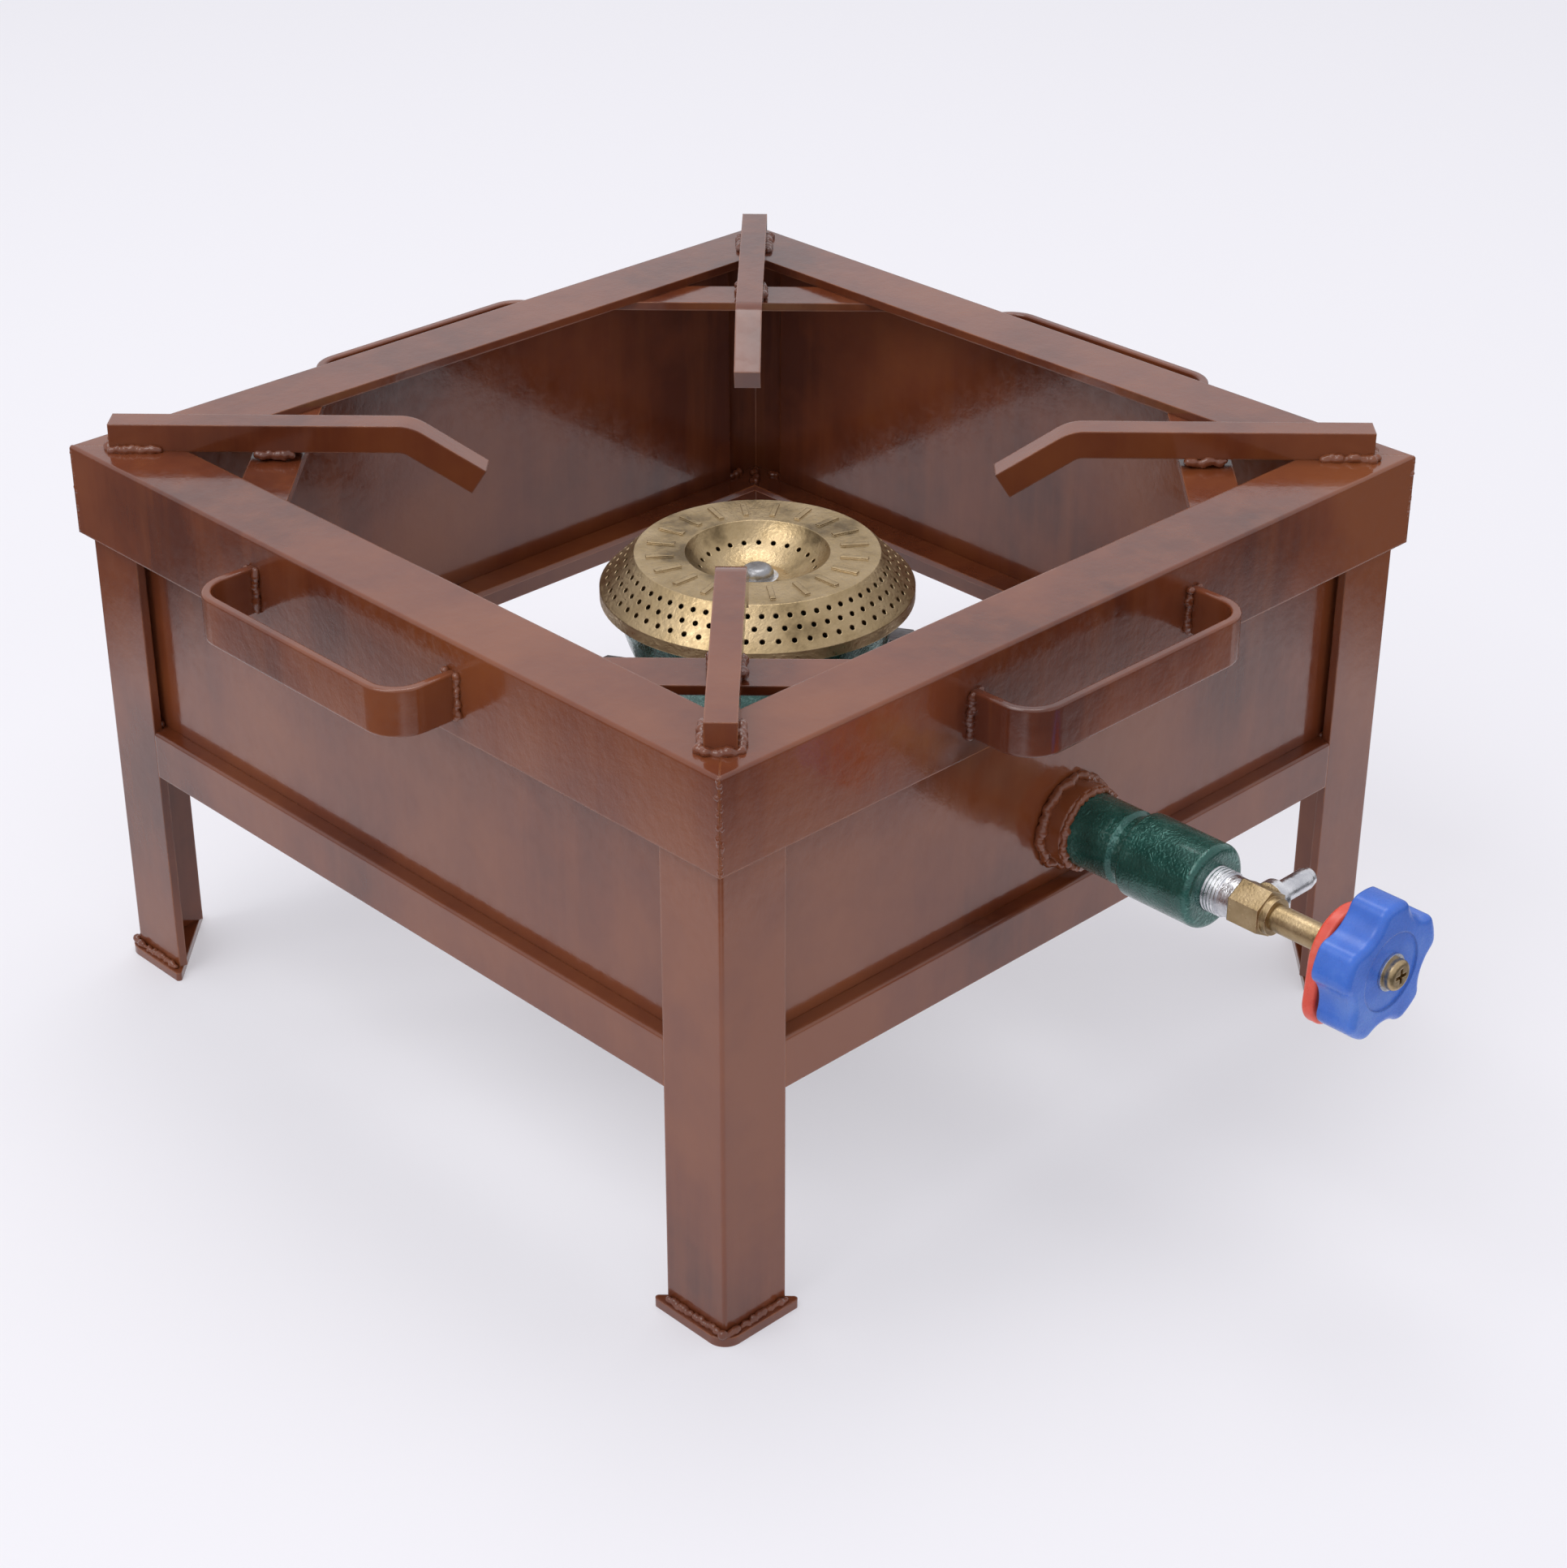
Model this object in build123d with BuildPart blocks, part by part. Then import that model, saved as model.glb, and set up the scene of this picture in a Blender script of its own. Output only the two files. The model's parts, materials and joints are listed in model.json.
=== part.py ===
from build123d import *
import math
import os

# Propane burner stand, in millimetres. +Z is up, the origin is on the floor under the
# middle of the frame, and the valve stands out towards -Y. Every side and every corner
# is the front (-Y) side or the front left corner, turned about Z.

side_turns = {"front": 0, "right": 90, "back": 180, "left": 270}
corner_turns = {"front_left": 0, "front_right": 90, "back_right": 180, "back_left": 270}

# top frame: a square of unequal angle
frame_side = 400.0
frame_height = 250.0
frame_leg = 40.0
frame_flange = 32.0
frame_wall = 4.0
edge_round = 1.5

# legs, standing inside the top frame's corners, and the three-cornered plates under them
leg_width = 32.0
leg_wall = 4.0
foot_width = 42.0
foot_thickness = 4.0
foot_overhang = 4.0
foot_corner = 8.0
foot_tip_round = 1.5

# lower rails between the legs
rail_top = 125.0
rail_width = 22.0
rail_wall = 3.0

# side panels, standing on the lower rails
panel_sheet = 1.2
panel_recess = 7.0
panel_lap = 6.0
panel_hole_clearance = 1.5

# flat bars across the corners, under the frame's flange
brace_width = 22.0
brace_thickness = 4.0
brace_place = 138.0
brace_end_gap = 0.3

# square bars that carry the pot
support_bar = 12.0
support_outer = 187.0
support_bend = 98.5
support_bend_radius = 14.0
support_tip_length = 35.0
support_tip_angle = 33.0

# carrying handles, bent from flat strip
handle_length = 130.0
handle_reach = 31.0
handle_strip = 4.0
handle_height = 20.0
handle_bottom = 218.0
handle_corner = 16.0
handle_shift = -8.0
handle_edge_round = 1.0

# burner
burner_y = -10.0
cap_bottom = 187.0
cap_lip = 5.0
cap_radius = 67.5
cap_ring_radius = 52.5
cap_wall = 3.0
cap_seat_radius = 57.0
dish_radius = 31.0
dish_depth = 13.0
dish_floor_radius = 14.0
skirt_hole = 2.3
skirt_holes = 60
skirt_rows = (0.24, 0.5, 0.76)
dish_hole = 2.2
dish_holes = 24
dish_hole_radius = 24.5
dish_hole_drop = 7.6
rib_count = 20
rib_length = 12.0
rib_width = 2.4
rib_height = 0.7

bowl_bottom = 130.0
bowl_rim_radius = 59.0
bowl_bottom_radius = 35.0
bowl_wall = 5.0
bowl_rim_height = 10.0
bowl_side_bulge = 3.0
post_radius = 8.0
post_top = 160.0
boss_wall = 3.4
boss_start = 42.0
boss_length = 26.0
ear_height = 150.0
ear_thickness = 8.0
ear_width = 24.0
ear_start = 42.0
ear_reach = 76.0

cap_bolt_diameter = 8.0
cap_bolt_head = 14.0
cap_bolt_head_height = 4.5
cap_bolt_end = 142.0
cap_washer_diameter = 18.0
cap_washer_thickness = 1.5
bolt_clearance = 0.1

# bars that carry the burner
arm_angle = -32.0
arm_width = 22.0
arm_thickness = 5.0
arm_start = 56.0
arm_bolt_place = 64.0
arm_bolt_diameter = 8.0
arm_bolt_hex = 13.0
arm_bolt_head_height = 5.3
arm_bolt_tail = 3.0
arm_nut_height = 6.5
arm_hole_clearance = 0.25

# gas train along the pipe's axis, with distances measured forward from the frame's middle
pipe_height = 150.0
pipe_diameter = 31.0
pipe_wall = 3.0
pipe_start = 64.0
pipe_end = 232.0
pipe_groove_start = 221.0
pipe_groove_depth = 1.6
pipe_groove_slope = 1.5
fit_clearance = 0.1
collar_length = 11.0
collar_wall = 2.4
socket_diameter = 35.0
socket_start = 227.5
socket_end = 263.4
socket_front_wall = 13.4
socket_round = 3.0
adapter_start = 248.0
adapter_thread_end = 270.0
adapter_end = 276.0
adapter_thread = 18.6
adapter_nose = 17.0
adapter_bore = 6.2
thread_pitch = 1.6
thread_depth = 0.6
jet_hex = 9.0
jet_hex_length = 5.0
jet_thread = 8.0
jet_thread_length = 7.0
jet_feed = 3.0
jet_orifice = 1.0
jet_face = 1.5

valve_hex = 17.0
valve_hex_end = 290.0
shoulder_diameter = 15.0
shoulder_length = 3.0
seat_length = 2.5
seat_bore = 3.0
chamber_bore = 8.4
chamber_end = 287.0
neck_diameter = 8.0
neck_length = 10.0
gland_diameter = 10.8
gland_end = 318.0
gland_cap_length = 11.0
packing_length = 3.6
spindle_diameter = 5.0
spindle_clearance = 0.05
needle_start = 281.5
needle_diameter = 4.4
needle_length = 2.0
needle_slope = 0.5
needle_tip = 0.4
seat_clearance = 0.05
nipple_place = 283.0
nipple_thread = 8.0
nipple_thread_depth = 3.0
nipple_collar = 14.0
nipple_collar_length = 4.0
nipple_tube = 8.8
nipple_reach = 33.0
nipple_bore = 5.0
nipple_taper = 0.8
nipple_taper_length = 3.0

# knob
pointer_start = 321.0
pointer_thickness = 6.0
pointer_radius = 18.5
pointer_lobe_radius = 11.5
pointer_lobe_place = 18.0
pointer_lobe_angle = 243.0
pointer_round = 1.5
knob_start = 330.0
knob_thickness = 16.0
knob_radius = 28.0
knob_lobes = 5
knob_lobe_angle = 16.0
knob_valley = 22.5
scallop_radius = 15.0
knob_corner = 5.5
knob_round = 3.0
knob_hub = 8.0
knob_pocket_radius = 17.0
knob_pocket_depth = 10.0
knob_recess_radius = 16.0
knob_recess_depth = 0.8
spindle_short = 1.0
knob_washer_diameter = 15.0
knob_washer_thickness = 1.2
knob_screw_thread = 3.2
knob_screw_length = 14.0
knob_screw_head = 12.6
knob_screw_head_height = 4.0
knob_screw_slot = 6.6
knob_screw_slot_width = 1.7
knob_screw_slot_depth = 1.8

# places that follow from the sizes
frame_half = frame_side / 2
frame_under = frame_height - frame_wall
leg_half = frame_half - frame_wall
leg_inner = leg_half - leg_wall
leg_edge = leg_half - leg_width
rail_inner = leg_half - rail_width
panel_outer = leg_half - panel_recess
panel_inner = panel_outer - panel_sheet
pipe_radius = pipe_diameter / 2
cap_top = cap_bottom + cap_lip + cap_radius - cap_ring_radius
dish_floor = cap_top - dish_depth
spindle_radius = spindle_diameter / 2
gland_start = valve_hex_end + shoulder_length
knob_front = knob_start + knob_thickness
recess_floor = knob_front - knob_recess_depth
spindle_end = recess_floor - spindle_short


def level(turn, height):
    """The level plane at a height, turned so that its -Y side is the side being made."""
    return Plane.XY.offset(height).rotated((0, 0, turn))


def axis_towards(x, y, turn):
    """A level axis from the middle, turned with its side or corner."""
    return Axis((0, 0, 0), Vector(x, y, 0).rotate(Axis.Z, turn))


def mitred(outer, inner):
    """Outline of a strip along the front side with its ends cut at 45 degrees."""
    return [(-outer, -outer), (outer, -outer), (inner, -inner), (-inner, -inner)]


def station(distance, turn=0):
    """The upright plane across the pipe's axis at a distance forward of the middle."""
    across = Vector(1, 0, 0).rotate(Axis((0, 0, 0), (0, -1, 0)), turn)
    return Plane(origin=(0, -distance, pipe_height), x_dir=across, z_dir=(0, -1, 0))


def burner_level(turn, height):
    """The level plane through the burner's middle at a height, turned about it."""
    return Plane(origin=(0, burner_y, height)).rotated((0, 0, turn))


def tube_profile(start, end, inner, outer):
    """Half section of a tube: along the axis from start to end, between two radii."""
    return [(start, inner), (end, inner), (end, outer), (start, outer)]


# half sections of the gas train lie in this plane, with x forward and y the radius
pipe_section = Plane(origin=(0, 0, pipe_height), x_dir=(0, -1, 0), z_dir=(-1, 0, 0))
pipe_axis = Axis((0, 0, pipe_height), (0, -1, 0))

# half sections of the burner lie in this plane, with x the radius and y the height
burner_section = Plane(origin=(0, burner_y, 0), x_dir=(1, 0, 0), z_dir=(0, -1, 0))
burner_axis = Axis((0, burner_y, 0), (0, 0, 1))

os.makedirs("parts", exist_ok=True)


# top frame
for side, turn in side_turns.items():
    with BuildPart() as top_rail:
        with BuildSketch(level(turn, frame_under)):
            Polygon(*mitred(frame_half, frame_half - frame_flange), align=None)
        extrude(amount=frame_wall)
        with BuildSketch(level(turn, frame_height - frame_leg)):
            Polygon(*mitred(frame_half, leg_half), align=None)
        extrude(amount=frame_leg)
        heel = top_rail.edges().group_by(Axis.Z)[-1].sort_by(axis_towards(0, -1, turn))[-1]
        fillet(heel, edge_round)
    top_rail.part.label = f"top_rail_{side}"
    export_step(top_rail.part, f"parts/{top_rail.part.label}.step")


# legs and the plates under them
for corner, turn in corner_turns.items():
    with BuildPart() as leg:
        with BuildSketch(level(turn, foot_thickness)):
            Polygon(
                (-leg_half, -leg_half),
                (-leg_edge, -leg_half),
                (-leg_edge, -leg_inner),
                (-leg_inner, -leg_inner),
                (-leg_inner, -leg_edge),
                (-leg_half, -leg_edge),
                align=None,
            )
        extrude(amount=frame_under - foot_thickness)
        heel = leg.edges().filter_by(Axis.Z).sort_by(axis_towards(-1, -1, turn))[-1]
        fillet(heel, edge_round)
    leg.part.label = f"leg_{corner}"
    export_step(leg.part, f"parts/{leg.part.label}.step")

    foot_outer = leg_half + foot_overhang
    with BuildPart() as foot_plate:
        with BuildSketch(level(turn, 0)):
            Polygon(
                (-foot_outer, -foot_outer),
                (foot_width - foot_outer, -foot_outer),
                (-foot_outer, foot_width - foot_outer),
                align=None,
            )
        extrude(amount=foot_thickness)
        upright_edges = foot_plate.edges().filter_by(Axis.Z).sort_by(axis_towards(-1, -1, turn))
        fillet(upright_edges[-1], foot_corner)
        fillet(upright_edges[:2], foot_tip_round)
    foot_plate.part.label = f"foot_plate_{corner}"
    export_step(foot_plate.part, f"parts/{foot_plate.part.label}.step")


# lower rails: the flange goes round each leg's inside and meets the next in a mitre
for side, turn in side_turns.items():
    with BuildPart() as lower_rail:
        with BuildSketch(level(turn, rail_top - rail_wall)):
            Polygon(
                (-leg_edge, -leg_half),
                (leg_edge, -leg_half),
                (leg_edge, -leg_inner),
                (leg_inner, -leg_inner),
                (rail_inner, -rail_inner),
                (-rail_inner, -rail_inner),
                (-leg_inner, -leg_inner),
                (-leg_edge, -leg_inner),
                align=None,
            )
        extrude(amount=rail_wall)
        with BuildSketch(level(turn, rail_top - rail_width)):
            with Locations((0, -leg_half + rail_wall / 2)):
                Rectangle(2 * leg_edge, rail_wall)
        extrude(amount=rail_width)
        heel = lower_rail.edges().group_by(Axis.Z)[-1].sort_by(axis_towards(0, -1, turn))[-1]
        fillet(heel, edge_round)
    lower_rail.part.label = f"lower_rail_{side}"
    export_step(lower_rail.part, f"parts/{lower_rail.part.label}.step")


# side panels
for side, turn in side_turns.items():
    with BuildPart() as side_panel:
        with BuildSketch(level(turn, rail_top)):
            with Locations((0, -(panel_outer + panel_inner) / 2)):
                Rectangle(2 * (leg_edge + panel_lap), panel_sheet)
        extrude(amount=frame_under - rail_top)
        if side == "front":
            with BuildSketch(station(panel_inner)):
                Circle(pipe_radius + panel_hole_clearance)
            extrude(amount=panel_sheet, mode=Mode.SUBTRACT)
    side_panel.part.label = f"side_panel_{side}"
    export_step(side_panel.part, f"parts/{side_panel.part.label}.step")


# corner braces: square to the diagonal, with their ends cut along the sides
for corner, turn in corner_turns.items():
    brace_end = panel_inner - brace_end_gap
    brace_near = 2 * brace_place - brace_width / math.sqrt(2) - brace_end
    brace_far = 2 * brace_place + brace_width / math.sqrt(2) - brace_end
    with BuildPart() as corner_brace:
        with BuildSketch(level(turn, frame_under - brace_thickness)):
            Polygon(
                (-brace_end, -brace_near),
                (-brace_end, -brace_far),
                (-brace_far, -brace_end),
                (-brace_near, -brace_end),
                align=None,
            )
        extrude(amount=brace_thickness)
    corner_brace.part.label = f"corner_brace_{corner}"
    export_step(corner_brace.part, f"parts/{corner_brace.part.label}.step")


# pot supports: square bars along the diagonals, bent down at their inner ends
diagonal = math.sqrt(2)
bar_axis_height = frame_height + support_bar / 2
tip_angle = math.radians(support_tip_angle)
tip_run = support_tip_length * math.cos(tip_angle)
tip_drop = support_tip_length * math.sin(tip_angle)
for corner, turn in corner_turns.items():
    along_diagonal = Plane(
        origin=(0, 0, bar_axis_height),
        x_dir=axis_towards(-1, -1, turn).direction,
        z_dir=axis_towards(-1, 1, turn).direction,
    )
    with BuildPart() as pot_support:
        with BuildLine(along_diagonal) as bar_line:
            FilletPolyline(
                (support_outer * diagonal, 0),
                (support_bend * diagonal, 0),
                (support_bend * diagonal - tip_run, -tip_drop),
                radius=support_bend_radius,
            )
        with BuildSketch(Plane(origin=bar_line.line @ 0, z_dir=bar_line.line % 0)):
            Rectangle(support_bar, support_bar)
        sweep()
    pot_support.part.label = f"pot_support_{corner}"
    export_step(pot_support.part, f"parts/{pot_support.part.label}.step")


# handles: half of a rounded loop, standing out from the frame's upright leg
for side, turn in side_turns.items():
    with BuildPart() as handle:
        with BuildSketch(level(turn, handle_bottom)):
            with Locations((handle_shift, -frame_half)):
                RectangleRounded(handle_length, 2 * handle_reach, handle_corner)
                RectangleRounded(
                    handle_length - 2 * handle_strip,
                    2 * (handle_reach - handle_strip),
                    handle_corner - handle_strip,
                    mode=Mode.SUBTRACT,
                )
                Rectangle(
                    handle_length,
                    handle_reach,
                    align=(Align.CENTER, Align.MIN),
                    mode=Mode.SUBTRACT,
                )
        extrude(amount=handle_height)
        level_edges = handle.edges().group_by(Axis.Z)
        long_edges = (level_edges[0] + level_edges[-1]).filter_by(
            lambda edge: edge.length > 1.5 * handle_strip
        )
        fillet(long_edges, handle_edge_round)
    handle.part.label = f"handle_{side}"
    export_step(handle.part, f"parts/{handle.part.label}.step")


# burner bowl: a turned shell with a post for the cap's bolt, a boss for the pipe and two ears
ear_angles = (arm_angle, arm_angle + 180)
ear_bolts = [
    (
        arm_bolt_place * math.cos(math.radians(angle)),
        burner_y + arm_bolt_place * math.sin(math.radians(angle)),
    )
    for angle in ear_angles
]
bolt_bore_radius = cap_bolt_diameter / 2 + bolt_clearance
boss_bore_radius = pipe_radius + fit_clearance
bowl_rim_start = cap_bottom - bowl_rim_height
bowl_side_middle = (bowl_bottom + bowl_rim_start) / 2
bowl_middle_radius = (bowl_bottom_radius + bowl_rim_radius) / 2 + bowl_side_bulge
with BuildPart() as burner_bowl:
    with BuildSketch(burner_section):
        with BuildLine():
            Polyline(
                (bowl_rim_radius - bowl_wall, bowl_rim_start),
                (bowl_rim_radius - bowl_wall, cap_bottom),
                (bowl_rim_radius, cap_bottom),
                (bowl_rim_radius, bowl_rim_start),
            )
            ThreePointArc(
                (bowl_rim_radius, bowl_rim_start),
                (bowl_middle_radius, bowl_side_middle),
                (bowl_bottom_radius, bowl_bottom),
            )
            Polyline(
                (bowl_bottom_radius, bowl_bottom),
                (0, bowl_bottom),
                (0, cap_bolt_end - bowl_wall),
                (bolt_bore_radius, cap_bolt_end - bowl_wall),
                (bolt_bore_radius, post_top),
                (post_radius, post_top),
                (post_radius, bowl_bottom + bowl_wall),
                (bowl_bottom_radius - bowl_wall, bowl_bottom + bowl_wall),
            )
            ThreePointArc(
                (bowl_bottom_radius - bowl_wall, bowl_bottom + bowl_wall),
                (bowl_middle_radius - bowl_wall, bowl_side_middle),
                (bowl_rim_radius - bowl_wall, bowl_rim_start),
            )
        make_face()
    revolve(axis=burner_axis)
    with BuildSketch(station(boss_start - burner_y)):
        Circle(boss_bore_radius + boss_wall)
    extrude(amount=boss_length)
    for angle in ear_angles:
        with BuildSketch(burner_level(angle, ear_height - ear_thickness)):
            with Locations(((ear_start + ear_reach) / 2, 0)):
                Rectangle(ear_reach - ear_start, ear_width)
        extrude(amount=ear_thickness)
    with BuildSketch(Plane.XY.offset(ear_height)):
        with Locations(*ear_bolts):
            Circle(arm_bolt_diameter / 2 + arm_hole_clearance)
    extrude(amount=-ear_thickness, mode=Mode.SUBTRACT)
    with BuildSketch(station(boss_start - burner_y - bowl_wall)):
        Circle(boss_bore_radius)
    extrude(amount=boss_length + bowl_wall, mode=Mode.SUBTRACT)
burner_bowl.part.label = "burner_bowl"
export_step(burner_bowl.part, "parts/burner_bowl.step")


# burner cap: flat ring, perforated skirt and a perforated dish in the middle
skirt_top = (cap_ring_radius, cap_top)
skirt_foot = (cap_radius, cap_bottom + cap_lip)
skirt_inset = cap_wall * math.sqrt(2)
under_top = cap_top - cap_wall
under_ring_radius = cap_radius - skirt_inset - (under_top - cap_bottom - cap_lip)
cap_bore_radius = cap_bolt_diameter / 2 + arm_hole_clearance
with BuildPart() as burner_cap:
    with BuildSketch(burner_section):
        with BuildLine():
            Polyline(
                (cap_seat_radius, cap_bottom),
                (cap_radius, cap_bottom),
                skirt_foot,
                skirt_top,
                (dish_radius, cap_top),
            )
            ThreePointArc(
                (dish_radius, cap_top),
                (dish_hole_radius, cap_top - dish_hole_drop),
                (dish_floor_radius, dish_floor),
            )
            Polyline(
                (dish_floor_radius, dish_floor),
                (cap_bore_radius, dish_floor),
                (cap_bore_radius, dish_floor - cap_wall),
                (dish_floor_radius, dish_floor - cap_wall),
            )
            ThreePointArc(
                (dish_floor_radius, dish_floor - cap_wall),
                (dish_hole_radius + cap_wall * 0.6, cap_top - dish_hole_drop - cap_wall * 0.8),
                (dish_radius + cap_wall, under_top),
            )
            Polyline(
                (dish_radius + cap_wall, under_top),
                (under_ring_radius, under_top),
                (cap_radius - skirt_inset, cap_bottom + cap_lip),
                (cap_seat_radius, cap_bottom + cap_lip),
                (cap_seat_radius, cap_bottom),
            )
        make_face()
    revolve(axis=burner_axis)
    for row, share in enumerate(skirt_rows):
        row_radius = cap_ring_radius + share * (cap_radius - cap_ring_radius)
        row_height = cap_top - share * (cap_radius - cap_ring_radius)
        hole_planes = []
        for index in range(skirt_holes):
            angle = 2 * math.pi * (index + row / 2) / skirt_holes
            out = (math.cos(angle), math.sin(angle))
            hole_planes.append(
                Plane(
                    origin=(row_radius * out[0], burner_y + row_radius * out[1], row_height),
                    z_dir=(out[0], out[1], 1),
                )
            )
        with BuildSketch(*hole_planes):
            Circle(skirt_hole / 2)
        extrude(amount=cap_wall * 1.3, both=True, mode=Mode.SUBTRACT)
    dish_planes = []
    for index in range(dish_holes):
        angle = 2 * math.pi * index / dish_holes
        out = (math.cos(angle), math.sin(angle))
        dish_planes.append(
            Plane(
                origin=(
                    dish_hole_radius * out[0],
                    burner_y + dish_hole_radius * out[1],
                    cap_top - dish_hole_drop,
                ),
                z_dir=(-out[0], -out[1], 1),
            )
        )
    with BuildSketch(*dish_planes):
        Circle(dish_hole / 2)
    extrude(amount=cap_wall * 1.3, both=True, mode=Mode.SUBTRACT)
    with Locations((0, burner_y, cap_top)):
        with PolarLocations((dish_radius + cap_ring_radius) / 2, rib_count):
            Box(rib_length, rib_width, 2 * rib_height)
burner_cap.part.label = "burner_cap"
export_step(burner_cap.part, "parts/burner_cap.step")


# bolt and washer that hold the cap down on the bowl
with BuildPart() as cap_washer:
    with BuildSketch(Plane.XY.offset(dish_floor)):
        with Locations((0, burner_y)):
            Circle(cap_washer_diameter / 2)
            Circle(cap_bolt_diameter / 2 + bolt_clearance, mode=Mode.SUBTRACT)
    extrude(amount=cap_washer_thickness)
cap_washer.part.label = "cap_washer"
export_step(cap_washer.part, "parts/cap_washer.step")

cap_head_start = dish_floor + cap_washer_thickness
with BuildPart() as cap_bolt:
    with BuildSketch(Plane.XY.offset(cap_bolt_end)):
        with Locations((0, burner_y)):
            Circle(cap_bolt_diameter / 2)
    extrude(amount=cap_head_start - cap_bolt_end)
    with BuildSketch(Plane.XY.offset(cap_head_start)):
        with Locations((0, burner_y)):
            Circle(cap_bolt_head / 2)
    extrude(amount=cap_bolt_head_height)
    fillet(cap_bolt.edges().group_by(Axis.Z)[-1], cap_bolt_head_height * 0.75)
cap_bolt.part.label = "cap_bolt"
export_step(cap_bolt.part, "parts/cap_bolt.step")


# bars from the bowl's ears to the side panels, with their bolts and nuts
for side, angle in zip(("right", "left"), ear_angles):
    with BuildPart() as support_arm:
        with BuildSketch(burner_level(angle, ear_height)):
            with Locations(((arm_start + frame_side) / 2, 0)):
                Rectangle(frame_side - arm_start, arm_width)
            with Locations((arm_bolt_place, 0)):
                Circle(arm_bolt_diameter / 2 + arm_hole_clearance, mode=Mode.SUBTRACT)
        extrude(amount=arm_thickness)
        if side == "right":
            split(bisect_by=Plane.YZ.offset(panel_inner), keep=Keep.BOTTOM)
        else:
            split(bisect_by=Plane.YZ.offset(-panel_inner), keep=Keep.TOP)
    support_arm.part.label = f"support_arm_{side}"
    export_step(support_arm.part, f"parts/{support_arm.part.label}.step")

arm_top = ear_height + arm_thickness
arm_nut_bottom = ear_height - ear_thickness - arm_nut_height
with BuildPart() as arm_bolts:
    with BuildSketch(Plane.XY.offset(arm_top)):
        with Locations(*ear_bolts):
            RegularPolygon(arm_bolt_hex / 2, 6, major_radius=False)
    extrude(amount=arm_bolt_head_height)
    with BuildSketch(Plane.XY.offset(arm_nut_bottom - arm_bolt_tail)):
        with Locations(*ear_bolts):
            Circle(arm_bolt_diameter / 2)
    extrude(amount=arm_top - arm_nut_bottom + arm_bolt_tail)
arm_bolts.part.label = "arm_bolts"
export_step(arm_bolts.part, "parts/arm_bolts.step")

with BuildPart() as arm_nuts:
    with BuildSketch(Plane.XY.offset(arm_nut_bottom)):
        with Locations(*ear_bolts):
            RegularPolygon(arm_bolt_hex / 2, 6, major_radius=False)
            Circle(arm_bolt_diameter / 2 + bolt_clearance, mode=Mode.SUBTRACT)
    extrude(amount=arm_nut_height)
arm_nuts.part.label = "arm_nuts"
export_step(arm_nuts.part, "parts/arm_nuts.step")


# mixing pipe with a groove behind its socket, its collar at the panel, and the socket
groove_radius = pipe_radius - pipe_groove_depth
with BuildPart() as mixing_pipe:
    with BuildSketch(pipe_section):
        Polygon(
            (pipe_start, pipe_radius - pipe_wall),
            (pipe_end, pipe_radius - pipe_wall),
            (pipe_end, pipe_radius),
            (socket_start, pipe_radius),
            (socket_start - pipe_groove_slope, groove_radius),
            (pipe_groove_start + pipe_groove_slope, groove_radius),
            (pipe_groove_start, pipe_radius),
            (pipe_start, pipe_radius),
            align=None,
        )
    revolve(axis=pipe_axis)
mixing_pipe.part.label = "mixing_pipe"
export_step(mixing_pipe.part, "parts/mixing_pipe.step")

collar_bore = pipe_radius + fit_clearance
with BuildPart() as pipe_collar:
    with BuildSketch(pipe_section):
        Polygon(
            *tube_profile(panel_outer, panel_outer + collar_length, collar_bore, pipe_radius + collar_wall),
            align=None,
        )
    revolve(axis=pipe_axis)
    fillet(pipe_collar.edges().group_by(Axis.Y)[0].sort_by(SortBy.LENGTH)[-1], collar_wall / 2)
pipe_collar.part.label = "pipe_collar"
export_step(pipe_collar.part, "parts/pipe_collar.step")

socket_radius = socket_diameter / 2
thread_radius = adapter_thread / 2
with BuildPart() as pipe_socket:
    with BuildSketch(pipe_section):
        Polygon(
            (socket_start, collar_bore),
            (pipe_end + fit_clearance, collar_bore),
            (pipe_end + fit_clearance, pipe_radius - pipe_wall),
            (socket_end - socket_front_wall, pipe_radius - pipe_wall),
            (socket_end - socket_front_wall, thread_radius + fit_clearance),
            (socket_end, thread_radius + fit_clearance),
            (socket_end, socket_radius),
            (socket_start, socket_radius),
            align=None,
        )
    revolve(axis=pipe_axis)
    socket_rims = pipe_socket.edges().group_by(Axis.Y)
    rear_rim = socket_rims[-1].sort_by(SortBy.LENGTH)[-1]
    front_rim = socket_rims[0].sort_by(SortBy.LENGTH)[-1]
    fillet(front_rim, socket_round)
    fillet(rear_rim, (socket_radius - collar_bore) * 0.6)
pipe_socket.part.label = "pipe_socket"
export_step(pipe_socket.part, "parts/pipe_socket.step")


# jet adapter: its thread shows in front of the socket
bore_radius = adapter_bore / 2
jet_pocket_end = adapter_start + jet_thread_length + jet_face
with BuildPart() as jet_adapter:
    with BuildSketch(pipe_section):
        Polygon(
            (adapter_start, jet_thread / 2 + fit_clearance),
            (jet_pocket_end, jet_thread / 2 + fit_clearance),
            (jet_pocket_end, bore_radius),
            (adapter_end, bore_radius),
            (adapter_end, adapter_nose / 2),
            (adapter_thread_end, adapter_nose / 2),
            (adapter_thread_end, thread_radius),
            (adapter_start, thread_radius),
            align=None,
        )
    revolve(axis=pipe_axis)
    groove_count = int((adapter_thread_end - socket_end) / thread_pitch)
    with BuildSketch(pipe_section):
        for index in range(groove_count):
            groove_middle = adapter_thread_end - (index + 0.7) * thread_pitch
            Polygon(
                (groove_middle - thread_pitch / 3, thread_radius + fit_clearance),
                (groove_middle, thread_radius - thread_depth),
                (groove_middle + thread_pitch / 3, thread_radius + fit_clearance),
                align=None,
            )
    revolve(axis=pipe_axis, mode=Mode.SUBTRACT)
jet_adapter.part.label = "jet_adapter"
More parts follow.
